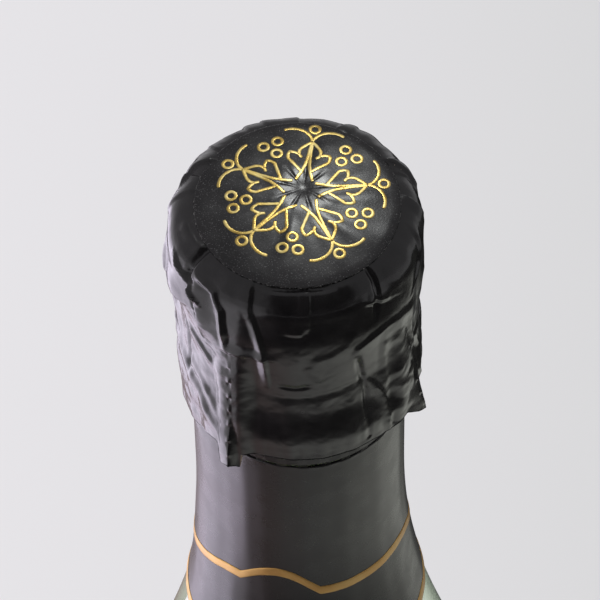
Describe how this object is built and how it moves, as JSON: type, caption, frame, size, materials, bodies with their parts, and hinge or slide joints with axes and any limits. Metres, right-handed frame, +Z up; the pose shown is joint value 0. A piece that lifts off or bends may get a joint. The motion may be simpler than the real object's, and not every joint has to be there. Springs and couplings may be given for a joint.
{
  "type": "champagne bottle",
  "caption": "Sealed sparkling wine bottle: dark green glass, mushroom cork, wire cage and pleated black foil over cork and neck.",
  "frame": {"origin": "middle of the flat ring that the bottle stands on", "axes": "+Z up along the bottle's axis to the crown, -Y to the front label and the front of the foil's gold arch, +X to the front's right"},
  "size_m": [0.0886, 0.0888, 0.3193],
  "materials": {
    "green_glass": "gloss",
    "wine": "clear liquid",
    "cork_grain": "matt agglomerate",
    "cork_natural": "matt",
    "plaque_gold": "satin lacquer",
    "galvanised_wire": "satin",
    "black_foil": "satin black lacquer on aluminium foil",
    "gold_foil": "polished stamping foil",
    "label_paper": "matt"
  },
  "bodies": {
    "bottle": {"glass_bottle": "green_glass", "wine": "wine", "neck_sleeve": "black_foil", "tear_strip": "black_foil", "gold_line_upper": "gold_foil", "gold_line_lower": "gold_foil", "front_label": "label_paper", "back_label": "label_paper"},
    "cork": {"cork_body": "cork_grain", "cork_disc_upper": "cork_natural", "cork_disc_lower": "cork_natural"},
    "cage": {"plaque": "plaque_gold", "wire_frame": "galvanised_wire", "leg_eyes": "galvanised_wire", "wire_belt": "galvanised_wire"},
    "loop": {"wire_loop": "galvanised_wire"},
    "hood": {"foil_hood": "black_foil", "crown_disc": "black_foil", "rosette_print": "gold_foil"},
    "tab": {"pull_tab": "black_foil"}
  },
  "joints": [
    {"name": "cork_pull", "type": "slide", "parent": "bottle", "child": "cork", "axis": [0, 0, 1], "range_m": [0, 0.06]},
    {"name": "cage_lift", "type": "slide", "parent": "cork", "child": "cage", "axis": [0, 0, 1], "range_m": [0, 0.06], "deforming": ["wire_belt", "leg_eyes"]},
    {"name": "hood_lift", "type": "slide", "parent": "cage", "child": "hood", "axis": [0, 0, 1], "range_m": [0, 0.16]},
    {"name": "loop_swing", "type": "hinge", "parent": "cage", "child": "loop", "pos_m": [-0.00341, 0.01752, 0.2826], "axis": [-0.9816, -0.1908, 0], "range_deg": [0, 80]},
    {"name": "tab_peel", "type": "hinge", "parent": "bottle", "child": "tab", "pos_m": [0.00106, 0.01521, 0.279], "axis": [0, 0, -1], "range_deg": [0, 120]}
  ],
  "couplings": [
    {"joint": "loop_swing", "follows": "hood_lift", "rad_per_m": 8.7262}
  ]
}
